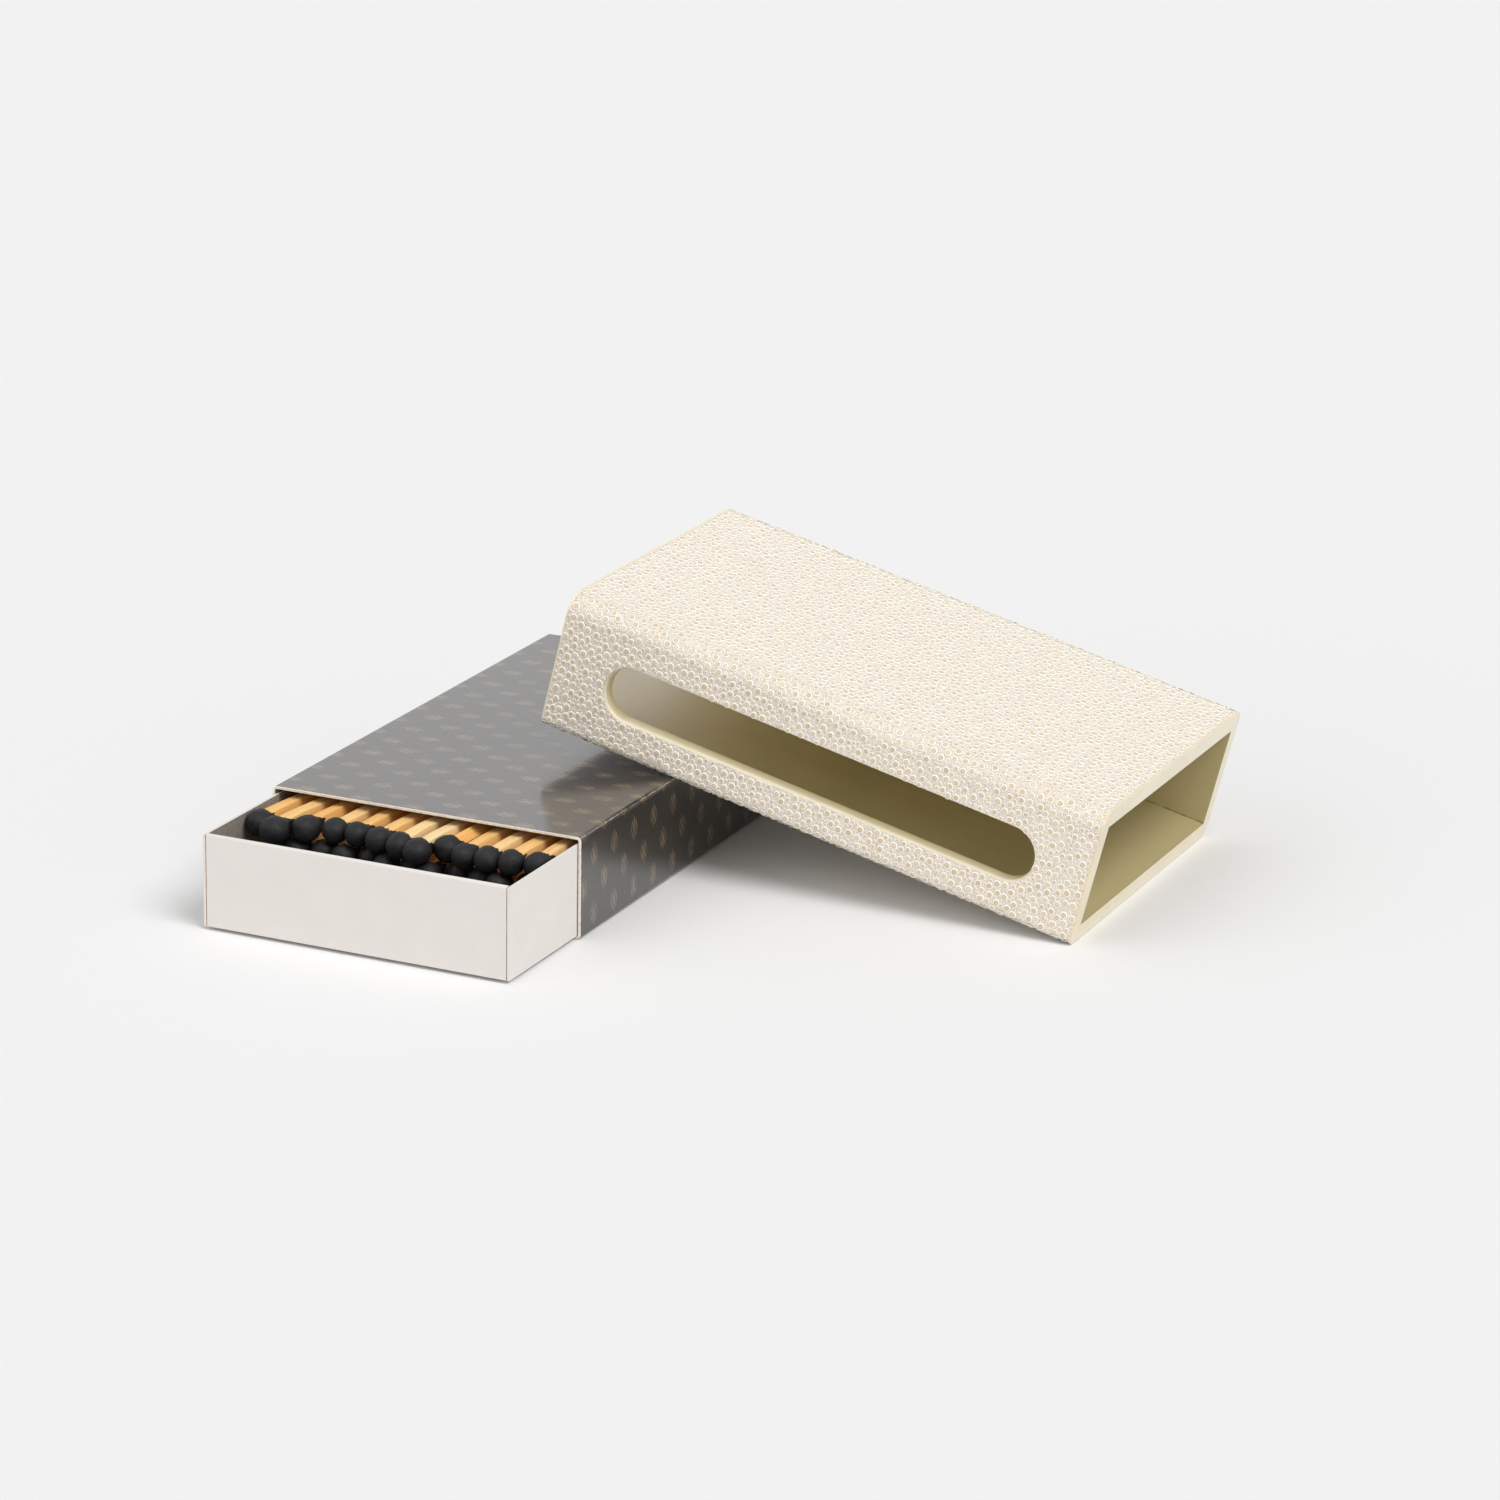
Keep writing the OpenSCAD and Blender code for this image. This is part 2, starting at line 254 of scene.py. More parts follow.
def skin_finish(s):
    """The shagreen between its pearls: fine grey-beige grains on a pale ground."""
    f = Finish("shagreen_ground", s.ground, 0.42, Coat_Weight=0.2, Coat_Roughness=0.3)
    gaps = f.cells(f.place, 2300, "DISTANCE_TO_EDGE").outputs["Distance"]
    patch = f.step(f.noise(f.place, 260, 4, 0.6), 0.35, 0.7)
    ground = f.mix(patch, shade(s.ground, 0.93), shade(s.ground, 1.04))
    ground = f.mix(f.step(gaps, 0.02, 0.12, 0.75, 0), ground, tint("C2B296"))
    f.put("Base Color", ground)
    f.put("Roughness", f.step(patch, 0, 1, 0.36, 0.5))
    soft = f.bump(f.noise(f.place, 700, 4, 0.6), 0.35, 0.00012)
    f.bump(gaps, 0.3, 0.00009, soft)
    return f.material


def pearl_finish(s):
    """Flat-ground pearls. The attribute pearl holds the way out from the middle, and each pearl's own tone."""
    f = Finish("shagreen_pearls", s.pearl, 0.3, Coat_Weight=0.3, Coat_Roughness=0.2)
    data = f.add("ShaderNodeAttribute", attribute_name="pearl")
    split = f.add("ShaderNodeSeparateColor", {0: data.outputs["Color"]})
    out, tone = split.outputs[0], split.outputs[1]
    top = f.mix(tone, shade(s.pearl, 0.92), tint("EBDABF"))
    top = f.mix(f.step(out, 0.35, 0.66, 0, 0.55), top, tint("CDAE83"))
    whole = f.mix(f.step(out, 0.65, 0.75), top, s.pearl_edge)
    f.put("Base Color", f.mix(f.step(out, 0.93, 1.0, 0, 0.6), whole, s.ground))
    f.put("Roughness", f.step(f.noise(f.place, 1500, 2), 0.3, 0.7, 0.24, 0.38))
    return f.material


def print_finish(s):
    """Coated board with a small lozenge print. Its UV map is in metres: round the cover, and along it."""
    f = Finish("laminated_print", s.print_ground, 0.4, Specular_IOR_Level=0.4, Coat_Weight=1.0, Coat_Roughness=0.08, Coat_IOR=1.6)
    mm = f.vector("SCALE", f.uv)
    f.plug(mm.node, "Scale", 1000.0)
    split = f.add("ShaderNodeSeparateXYZ", {0: mm})
    across, along = split.outputs[0], split.outputs[1]
    motif_w, motif_h = 5.6, 8.2
    column = f.math("DIVIDE", across, motif_w)
    odd = f.math("MODULO", f.math("FLOOR", column), 2.0)
    row = f.math("ADD", f.math("DIVIDE", along, motif_h), f.math("MULTIPLY", f.math("ABSOLUTE", odd), 0.5))
    u = f.math("ABSOLUTE", f.math("MULTIPLY", f.math("SUBTRACT", f.math("FRACT", column), 0.5), motif_w))
    v = f.math("ABSOLUTE", f.math("MULTIPLY", f.math("SUBTRACT", f.math("FRACT", row), 0.5), motif_h))
    leaf = f.math("ADD", f.math("MULTIPLY", f.math("ABSOLUTE", f.math("SUBTRACT", v, 0.7)), 3.0), u)
    ring = f.step(f.math("ABSOLUTE", f.math("SUBTRACT", leaf, 1.45)), 0.2, 0.5, 1, 0)
    stem = f.math("MULTIPLY", f.step(v, 0.08, 0.2, 1, 0), f.step(u, 2.1, 2.4, 1, 0))
    print_ = f.math("MAXIMUM", ring, stem)
    worn = f.step(f.noise(f.uv, 500, 4, 0.65), 0.3, 0.62, 0.35, 1.0)
    weave = f.noise(f.scaled(f.uv, (260, 1500, 1)), 1.0, 2, 0.5)
    cross = f.noise(f.scaled(f.uv, (1300, 260, 1)), 1.0, 2, 0.5)
    thread = f.math("ADD", f.math("MULTIPLY", weave, 0.65), f.math("MULTIPLY", cross, 0.35))
    ground = f.mix(f.step(thread, 0.3, 0.7), shade(s.print_ground, 0.5), shade(s.print_ground, 1.45))
    ground = f.mix(f.step(f.noise(f.uv, 60, 3), 0.3, 0.7, 0, 0.25), ground, shade(s.print_ground, 1.3))
    face = f.mix(f.math("MULTIPLY", f.math("MULTIPLY", print_, worn), 0.7), ground, s.print_motif)
    half_w, front, back = (COVER_HIGH.x - BOX_MIDDLE) / MM, COVER_LOW.y / MM, COVER_HIGH.y / MM
    fold = f.math("ABSOLUTE", f.math("SUBTRACT", f.math("ABSOLUTE", across), half_w))
    mouth = f.math("MINIMUM", f.math("SUBTRACT", along, front), f.math("SUBTRACT", back, along))
    chafe = f.math("MULTIPLY", f.noise(f.uv, 900, 4, 0.6), 0.5)
    scuff = f.math("MAXIMUM", f.step(f.math("ADD", fold, chafe), 0.36, 0.6, 0.6, 0), f.step(f.math("ADD", mouth, chafe), 0.36, 0.56, 1, 0))
    face = f.mix(scuff, face, s.raw_edge)
    f.put("Base Color", face)
    f.put("Roughness", f.step(thread, 0.2, 0.8, 0.26, 0.4))
    f.put("Coat Normal", f.bump(thread, 0.6, 0.00006))
    return f.material


def raw_finish(s):
    f = Finish("raw_board_edge", s.raw_edge, 0.85)
    layers = f.noise(f.scaled(f.place, (1500, 900, 1500)), 1.0, 4, 0.65)
    f.put("Base Color", f.mix(f.step(layers, 0.3, 0.7), shade(s.raw_edge, 0.84), shade(s.raw_edge, 1.12)))
    f.bump(layers, 0.5, 0.00008)
    return f.material


def inside_finish(s):
    f = Finish("board_inside", s.inside, 0.9)
    pulp = f.noise(f.place, 900, 5, 0.65)
    f.put("Base Color", f.mix(f.step(pulp, 0.3, 0.7), shade(s.inside, 0.86), shade(s.inside, 1.1)))
    f.bump(pulp, 0.35, 0.00006)
    return f.material


def paper_finish(s):
    """Uncoated tray paper: faint cloudy pulp, short fibres and a slight tooth."""
    f = Finish("tray_paper", s.paper, 0.82, Sheen_Weight=0.08)
    cloud = f.noise(f.place, 160, 5, 0.6)
    fibre = f.noise(f.scaled(f.place, (2600, 700, 900), (0.2, 0.5, 0.3)), 1.0, 4, 0.7)
    paper = f.mix(f.step(cloud, 0.3, 0.72), shade(s.paper, 0.985), shade(s.paper, 1.012))
    f.put("Base Color", f.mix(f.step(fibre, 0.62, 0.8, 0, 0.16), paper, tint("C9BDB2")))
    f.bump(f.noise(f.place, 2200, 4, 0.6), 0.22, 0.00005, f.bump(cloud, 0.3, 0.00012))
    return f.material


def seam_finish(s):
    f = Finish("tray_seam", tint("B79C7C"), 0.9)
    f.put("Base Color", f.mix(f.step(f.noise(f.place, 900, 3), 0.3, 0.7), tint("A58A6B"), tint("CDB699")))
    return f.material


def striker_finish(s):
    """Striking surface: dark grit printed as a fine net of dots."""
    f = Finish("striking_surface", s.striker, 0.85)
    net = f.cells(f.place, 1400, randomness=0.15)
    dots = f.step(net.outputs["Distance"], 0.25, 0.5)
    grit = f.noise(f.place, 3500, 3, 0.7)
    face = f.mix(dots, shade(s.striker, 1.5), shade(s.striker, 0.75))
    f.put("Base Color", f.mix(f.step(grit, 0.5, 0.75, 0, 0.35), face, tint("6B5148")))
    f.bump(f.math("ADD", grit, net.outputs["Distance"]), 0.6, 0.00008)
    return f.material


def wood_finish(s):
    """Split aspen. Its UV map is in metres, across and along the stick, and the attribute tone is each stick's own."""
    f = Finish("split_aspen", s.wood, 0.62, Specular_IOR_Level=0.25)
    tone = f.add("ShaderNodeAttribute", attribute_name="tone").outputs["Fac"]
    grain = f.noise(f.scaled(f.uv, (3800, 130, 1)), 1.0, 5, 0.62, 0.4)
    pores = f.noise(f.scaled(f.uv, (9000, 420, 1)), 1.0, 3, 0.6)
    base = f.mix(tone, s.wood, s.wood_pale)
    deep = f.mix(tone, tint("F2AC56"), tint("FDD698"))
    face = f.mix(f.step(grain, 0.34, 0.66), deep, base)
    face = f.mix(f.step(pores, 0.6, 0.78, 0, 0.35), face, tint("C68A46"))
    f.put("Base Color", face)
    f.put("Roughness", f.step(grain, 0.3, 0.7, 0.72, 0.52))
    f.bump(pores, 0.35, 0.00006, f.bump(grain, 0.5, 0.00012))
    return f.material


def compound_finish(s):
    """Dry match compound: matt near-black with a dusty grain."""
    f = Finish("match_compound", s.compound, 0.6, Specular_IOR_Level=0.35)
    grain = f.noise(f.place, 2400, 5, 0.65)
    dust = f.noise(f.place, 700, 4, 0.6)
    face = f.mix(f.step(dust, 0.35, 0.75), shade(s.compound, 0.8), shade(s.compound, 1.3))
    f.put("Base Color", f.mix(f.step(grain, 0.6, 0.85, 0, 0.35), face, tint("424246")))
    f.put("Roughness", f.step(grain, 0.3, 0.8, 0.52, 0.78))
    f.bump(grain, 0.45, 0.00010, f.bump(dust, 0.4, 0.00022))
    return f.material


# Pieces

def finished(name, mesh, materials, body, replaced=()):
    """Puts a mesh whose place is in its vertices into the scene, as a piece on a body."""
    for m in materials:
        mesh.materials.append(m)
    obj = bpy.data.objects.new(name, mesh)
    bpy.context.scene.collection.objects.link(obj)
    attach(obj, body)
    if replaced:
        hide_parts(*replaced)
    return obj


def to_mesh(bm, name):
    mesh = bpy.data.meshes.new(name)
    bm.to_mesh(mesh)
    bm.free()
    return mesh


def repaint(node, material):
    """Gives a CAD node's object a better material."""
    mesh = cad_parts[node].data
    mesh.materials.clear()
    mesh.materials.append(material)


def cad_copy(node):
    """A CAD node's shape as a clean bmesh of flat faces."""
    bm = bmesh.new()
    bm.from_mesh(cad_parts[node].data)
    bmesh.ops.remove_doubles(bm, verts=bm.verts, dist=0.002 * MM)
    bmesh.ops.dissolve_limit(bm, angle_limit=math.radians(0.5), verts=bm.verts, edges=bm.edges)
    bm.normal_update()
    return bm


def soften(obj, width):
    mod = obj.modifiers.new("Soft edges", "BEVEL")
    mod.width = width
    mod.segments = 3
    mod.limit_method = "ANGLE"
    mod.angle_limit = math.radians(40)


# The holder's own axes: its length, its width away from the viewer and its height, with its high end at 0
HOLDER_LENGTH, HOLDER_WIDTH, HOLDER_HEIGHT = 110.5, 70.84, 26.896
LEAN = math.radians(13.6)
SHELL_LOW, SHELL_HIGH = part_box("holder_shell")
FOOT = Vector((SHELL_HIGH.x - HOLDER_HEIGHT * MM * math.sin(LEAN), SHELL_LOW.y, 0))
TO_HOLDER = Matrix.Translation(FOOT) @ Matrix.Rotation(LEAN, 4, "Y") @ Matrix.Translation((-HOLDER_LENGTH * MM, 0, 0))
# Rounds of its cross-section: near base, near top, far top, far base
ROUNDS = (1.5, 3.8, 2.4, 2.4)
# How far the pearls reach beyond the rims
PROUD = 0.025
RIM = 0.5
SLOT_MIDDLE, SLOT_HALF, SLOT_RADIUS = (HOLDER_LENGTH / 2, 12.2), 39.1, 5.6
SHELL_WALL, SHELL_ROOF = 3.3, 3.7


class Outline:
    """The holder's cross-section walked from the middle of its base: towards the near side, over the top and back."""

    def __init__(self):
        w, h = HOLDER_WIDTH, HOLDER_HEIGHT
        nb, nt, ft, fb = ROUNDS
        self.parts, self.marks, total = [], [], 0

        def line(a, b):
            nonlocal total
            size = math.dist(a, b)
            normal = (-(b[1] - a[1]) / size, (b[0] - a[0]) / size)
            self.parts.append((total, total + size, "line", a, b, normal))
            total += size

        def arc(centre, radius, start, end):
            nonlocal total
            size = radius * abs(end - start)
            self.parts.append((total, total + size, "arc", centre, radius, (start, end)))
            self.marks.append(total + size / 2)
            total += size

        quarter = math.pi / 2
        line((w / 2, 0), (nb, 0))
        arc((nb, nb), nb, -quarter, -2 * quarter)
        line((0, nb), (0, h - nt))
        arc((nt, h - nt), nt, 2 * quarter, quarter)
        line((nt, h), (w - ft, h))
        arc((w - ft, h - ft), ft, quarter, 0)
        line((w, h - ft), (w, fb))
        arc((w - fb, fb), fb, 0, -quarter)
        line((w - fb, 0), (w / 2, 0))
        self.total = total

    def at(self, s):
        """Place and outward normal in the cross-section."""
        s %= self.total
        for low, high, kind, a, b, c in self.parts:
            if s <= high:
                break
        t = (s - low) / (high - low)
        if kind == "line":
            return (a[0] + (b[0] - a[0]) * t, a[1] + (b[1] - a[1]) * t), c
        angle = c[0] + (c[1] - c[0]) * t
        n = (math.cos(angle), math.sin(angle))
        return (a[0] + b * n[0], a[1] + b * n[1]), n


def in_slot(along, place, radius):
    """Whether a pearl at this place reaches over the slot's edge."""
    if place[0] > 0.01:
        return False
    across = max(0, abs(along - SLOT_MIDDLE[0]) - SLOT_HALF)
    return math.hypot(across, place[1] - SLOT_MIDDLE[1]) < SLOT_RADIUS + radius * 0.6


def scatter_pearls(outline, largest, seed):
    """Places for pearls as (along, round, radius). Large ones go first, and each later one fills the room it finds."""
    rng = random.Random(seed)
    cell, grid, found = 2.0, {}, []
    columns = int(outline.total / cell)
    wide = outline.total / columns
    passes = ((18000, 1.0, 0.74, 0.03), (36000, 0.76, 0.52, 0.03), (60000, 0.54, 0.36, 0.03), (70000, 0.38, 0.24, 0.03))
    for tries, most, least, gap in passes:
        for _ in range(tries):
            r, low = largest * rng.uniform(least * 1.15, most), largest * least
            along = rng.uniform(low * 0.7 + 0.1, HOLDER_LENGTH - low * 0.7 - 0.1)
            s = rng.uniform(0, outline.total)
            if min(s, outline.total - s) < r + 0.15:
                continue
            i, j = int(along / cell), int(s / wide)
            for a in (-1, 0, 1):
                for b in (-1, 0, 1):
                    for p in grid.get((i + a, (j + b) % columns), ()):
                        r = min(r, math.hypot(p[0] - along, p[1] - s) - p[2] - gap)
                if r < low:
                    break
            if r < low or in_slot(along, outline.at(s)[0], r):
                continue
            r = min(r, along - 0.1, HOLDER_LENGTH - along - 0.1)
            grid.setdefault((i, j), []).append((along, s, r))
            found.append((along, s, r))
    return found


def pearl_shape(sides, rings, height):
    """A flat-ground pearl of radius 1 mm: vertices, faces and how far out each vertex is."""
    bm = bmesh.new()
    bmesh.ops.create_circle(bm, cap_ends=True, cap_tris=True, segments=sides, radius=rings[0][0] * MM)
    rim = [e for e in bm.edges if e.is_boundary]
    for v in bm.verts:
        v.co.z = height * MM * (1.0 if v.co.length < 1e-7 else rings[0][1])
    for radius, level in rings[1:]:
        out = bmesh.ops.extrude_edge_only(bm, edges=rim)["geom"]
        verts = [g for g in out if isinstance(g, bmesh.types.BMVert)]
        for v in verts:
            v.co = Vector((v.co.x, v.co.y, 0)).normalized() * radius * MM + Vector((0, 0, level * height * MM))
        rim = [g for g in out if isinstance(g, bmesh.types.BMEdge)]
        chosen = set(verts)
        rim = [e for e in rim if e.verts[0] in chosen and e.verts[1] in chosen]
    bmesh.ops.triangulate(bm, faces=bm.faces)
    bmesh.ops.recalc_face_normals(bm, faces=bm.faces)
    bm.normal_update()
    if sum(f.normal.z for f in bm.faces) < 0:
        bmesh.ops.reverse_faces(bm, faces=bm.faces)
    bm.verts.index_update()
    verts = np.array([v.co for v in bm.verts])
    faces = np.array([[v.index for v in f.verts] for f in bm.faces])
    bm.free()
    return verts, faces, np.hypot(verts[:, 0], verts[:, 1]) / MM


def pearl_mesh(name, outline, places, relief, seed):
    """One mesh of many pearls, each the same small shape set on the skin at its own size and turn."""
    rng = random.Random(seed)
    shapes = (
        (0.5, pearl_shape(9, ((0.78, 1.0), (0.93, 0.75), (1.0, 0.0)), 1.0)),
        (0.3, pearl_shape(8, ((0.76, 1.0), (0.93, 0.7), (1.0, 0.0)), 0.85)),
        (0.0, pearl_shape(6, ((0.7, 1.0), (1.0, 0.0)), 0.6)),
    )
    all_verts, all_faces, all_data, count = [], [], [], 0
    for along, s, r in places:
        verts, faces, out = next(shape for least, shape in shapes if r >= least)
        (y, z), (ny, nz) = outline.at(s)
        turn = rng.uniform(0, math.tau)
        oval = rng.uniform(0.94, 1.06)
        own = Matrix(((1, 0, 0), (0, -nz, ny), (0, ny, nz))) @ Matrix.Rotation(turn, 3, "Z")
        size = np.array([r * oval, r / oval, relief / MM + PROUD])
        y, z = y - ny * relief / MM, z - nz * relief / MM
        points = (verts * size) @ np.array(own).T + np.array([along * MM, y * MM, z * MM])
        tone = rng.random()
        all_verts.append(points)
        all_faces.append(faces + count)
        small = 0.0 if r > 0.3 else 0.1
        all_data.append(np.stack([np.minimum(out + small, 1), np.full(len(out), tone), np.zeros(len(out)), np.ones(len(out))], 1))
        count += len(points)
    to_row = np.array(TO_HOLDER)
    verts = np.concatenate(all_verts) @ to_row[:3, :3].T + to_row[:3, 3]
    faces = np.concatenate(all_faces)
    mesh = bpy.data.meshes.new(name)
    mesh.vertices.add(len(verts))
    mesh.vertices.foreach_set("co", verts.ravel())
    mesh.loops.add(faces.size)
    mesh.loops.foreach_set("vertex_index", faces.ravel())
    mesh.polygons.add(len(faces))
    mesh.polygons.foreach_set("loop_start", np.arange(0, faces.size, 3))
    mesh.update(calc_edges=True)
    data = mesh.attributes.new("pearl", "FLOAT_COLOR", "POINT")
    data.data.foreach_set("color", np.concatenate(all_data).ravel().astype(np.float32))
    mesh.shade_smooth()
    return mesh


class ResinSleeve(bpy.types.Operator):
    """Cream resin on the sleeve, its rims, its channel and its slot"""
    bl_idname = "matchbox.resin_sleeve"
    bl_label = "Resin sleeve"

    def execute(self, context):
        repaint("holder_shell", resin_finish(context.scene.matchbox.holder))
        return {"FINISHED"}


def sunk_skin(relief):
    """The skin's solid with its outer face let in by the height of the pearls."""
    bm = cad_copy("shagreen_wrap")
    back, low = TO_HOLDER.inverted(), 0.2 * MM
    middle = Vector((0, HOLDER_WIDTH * MM / 2, HOLDER_HEIGHT * MM / 2))
    bmesh.ops.transform(bm, matrix=back, verts=bm.verts)
    ring = [v for v in bm.verts if outer_face(v.co, low)]
    narrow = Matrix.Diagonal((1, 1 - relief / middle.y, 1 - relief / middle.z, 1))
    bmesh.ops.transform(bm, matrix=narrow, space=Matrix.Translation(-middle), verts=ring)
    bmesh.ops.transform(bm, matrix=TO_HOLDER, verts=bm.verts)
    return to_mesh(bm, "shagreen_ground")


def outer_face(p, depth):
    """Whether a point in the holder's own axes lies nearer than the depth to its outer face."""
    w, h = HOLDER_WIDTH * MM, HOLDER_HEIGHT * MM
    near, high = p.y < w / 2, p.z > h / 2
    r = (ROUNDS[1] if high else ROUNDS[0]) if near else (ROUNDS[2] if high else ROUNDS[3])
    r *= MM
    y, z = (p.y if near else w - p.y), (h - p.z if high else p.z)
    if y < r and z < r:
        return math.hypot(r - y, r - z) > r - depth
    return min(y, z) < depth


class Shagreen(bpy.types.Operator):
    """The skin's pale ground and the pearls that stand on it"""
    bl_idname = "matchbox.shagreen"
    bl_label = "Shagreen"

    def execute(self, context):
        s = context.scene.matchbox.holder
        finished("shagreen_ground", sunk_skin(s.relief), [skin_finish(s)], "holder", ["shagreen_wrap"])
        outline = Outline()
        near_low, near_high, far_high, far_low = outline.marks
        sides = {}
        for pearl in scatter_pearls(outline, s.largest / MM, s.seed):
            at = pearl[1]
            side = ("base" if at < near_low or at > far_low else "near" if at < near_high else
                    "top" if at < far_high else "far")
            if side in ("base", "top"):
                side += "_high_end" if pearl[0] < HOLDER_LENGTH / 2 else "_low_end"
            sides.setdefault(side, []).append(pearl)
        material = pearl_finish(s)
        for side, places in sides.items():
            name = "shagreen_pearls_" + side
            finished(name, pearl_mesh(name, outline, places, s.relief, s.seed), [material], "holder")
        return {"FINISHED"}


# The box

COVER_LOW, COVER_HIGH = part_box("box_cover")
TRAY_LOW, TRAY_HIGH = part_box("match_tray")
BOX_MIDDLE = (COVER_LOW.x + COVER_HIGH.x) / 2


class Cover(bpy.types.Operator):
    """The cover of folded board: printed outside, raw at its cut ends and plain inside"""
    bl_idname = "matchbox.cover"
    bl_label = "Cover"

    def execute(self, context):
        s = context.scene.matchbox.box
        bm = cad_copy("box_cover")
        board = 0.5 * MM
        uv = bm.loops.layers.uv.new("print")
        half_w, height = COVER_HIGH.x - BOX_MIDDLE, COVER_HIGH.z
        for f in bm.faces:
            c = f.calc_center_median()
            outside = max(abs(c.x - BOX_MIDDLE) - half_w, abs(c.z - height / 2) - height / 2) > -board * 0.5
            cut = abs(f.normal.y) > 0.7
            f.material_index = 1 if cut else 0 if outside else 2
            for loop in f.loops:
                p = loop.vert.co
                x = p.x - BOX_MIDDLE
                if abs(f.normal.z) > abs(f.normal.x):
                    u = x if f.normal.z > 0 else 2 * half_w + height - x
                else:
                    u = half_w + (height - p.z) if f.normal.x > 0 else -half_w - (height - p.z)
                loop[uv].uv = (u, p.y)
        mats = [print_finish(s), raw_finish(s), inside_finish(s)]
        obj = finished("folded_cover", to_mesh(bm, "folded_cover"), mats, "box", ["box_cover"])
        soften(obj, s.soft * 0.7)
        repaint("striker_strip", striker_finish(s))
        return {"FINISHED"}


class Tray(bpy.types.Operator):
    """The paper tray with its rounded rims and its corner seams"""
    bl_idname = "matchbox.tray"
    bl_label = "Tray"

    def execute(self, context):
        s = context.scene.matchbox.box
        bm = cad_copy("match_tray")
        half = (TRAY_HIGH.x - TRAY_LOW.x) / 2
        middle = (TRAY_HIGH.x + TRAY_LOW.x) / 2
        for f in bm.faces:
            c = f.calc_center_median()
            end = min(c.y - TRAY_LOW.y, TRAY_HIGH.y - c.y)
            in_seam = 0.4 * MM < half - abs(c.x - middle) < 0.7 * MM and end < 0.2 * MM and f.calc_area() < 3 * MM * MM
            board = 0.6 * MM
            inner = half - abs(c.x - middle) > board and board < end and c.z > 0.9 * MM and c.z < TRAY_HIGH.z - 0.2 * MM
            walls = inner or abs(f.normal.x) > 0.7 and half - abs(c.x - middle) > 0.3 * MM
            f.material_index = 1 if in_seam else 2 if walls else 0
        mats = [paper_finish(s), seam_finish(s), bpy.data.materials.get("board_inside") or inside_finish(s)]
        obj = finished("paper_tray", to_mesh(bm, "paper_tray"), mats, "tray", ["match_tray"])
        soften(obj, s.soft)
        return {"FINISHED"}


# Matches

STICK, MATCH_LENGTH, HEAD_RADIUS, STICK_INSET = 2.4, 92.0, 2.25, 1.0
HEAD_PITCH, TAIL_PITCH = 4.58, 4.3
HEAD_LEVELS, TAIL_LEVELS = (3.4, 7.732, 12.064, 16.396), (2.431, 5.242, 8.054, 10.866)
FIRST_HEAD, LAST_TAIL = 12.25, 108.3
TOP_BACK = (2.8, 0, 3.6, 5.2, 5.4, 4.3, 3.2, 1.5, 6.3, 3.7, 3.9, 4.4, 5.5)
TOP_SHIFT = (-0.6, -0.6, -0.6, 0, 0, 0.5, 0.5, 0.5, -0.3, -0.3, -0.3, -0.3, -0.3)
TOP_ROLL = (0, 3, -4, 2, -3, 0, 4, -2, 38, -4, 0, 3, -3)
LOW_BACK = (4.4, 6.1, 3.2, 5.3, 2.6, 5.8, 4.9, 3.4, 6.3, 4.1, 5.6, 3, 4.7)
LOW_START, ROW_DRIFT = 5, (0, 1.2, -2, 3)
ROWS = ("bottom_row", "second_row", "third_row")


def match_place(x, back, row, tail_x, roll):
    """Where a match lies: its head's middle at the origin of its own axes, and its stick along Y."""
    slope = (HEAD_LEVELS[row] - TAIL_LEVELS[row]) / (LAST_TAIL - FIRST_HEAD)
    yaw = math.atan((tail_x - x) / (MATCH_LENGTH - HEAD_RADIUS))
    dip = math.atan(slope * math.cos(yaw))
    at = Vector((BOX_MIDDLE + x * MM, TRAY_LOW.y + (FIRST_HEAD + back) * MM, (HEAD_LEVELS[row] - back * slope) * MM))
    turn = Matrix.Rotation(-yaw, 4, "Z") @ Matrix.Rotation(-dip, 4, "X") @ Matrix.Rotation(math.radians(roll), 4, "Y")
    return Matrix.Translation(at) @ turn


def top_place(i):
    return match_place((i - 6) * HEAD_PITCH + TOP_SHIFT[i], TOP_BACK[i], 3, (i - 6) * TAIL_PITCH + ROW_DRIFT[3], TOP_ROLL[i])


def head_room(i):
    """How much wider a top head may be than its profile before it presses into the next."""
    middle = top_place(i).to_translation()
    gaps = [(top_place(j).to_translation() - middle).length / MM for j in (i - 1, i + 1) if 0 <= j < 13]
    return min(1.13, max(1.02, (min(gaps) / 2 + 0.12) / 2.34))


def row_places(row):
    n = 12 if row % 2 == 0 else 13
    return [match_place((i - (n - 1) / 2) * HEAD_PITCH, LOW_BACK[(i + LOW_START * row) % 13], row,
                        (i - (n - 1) / 2) * TAIL_PITCH + ROW_DRIFT[row], 0) for i in range(n)]


def join(bm, part, place):
    """Adds a part, made at the origin, to a mesh in its place."""
    part.transform(place)
    mesh = to_mesh(part, "part")
    bm.from_mesh(mesh)
    bpy.data.meshes.remove(mesh)


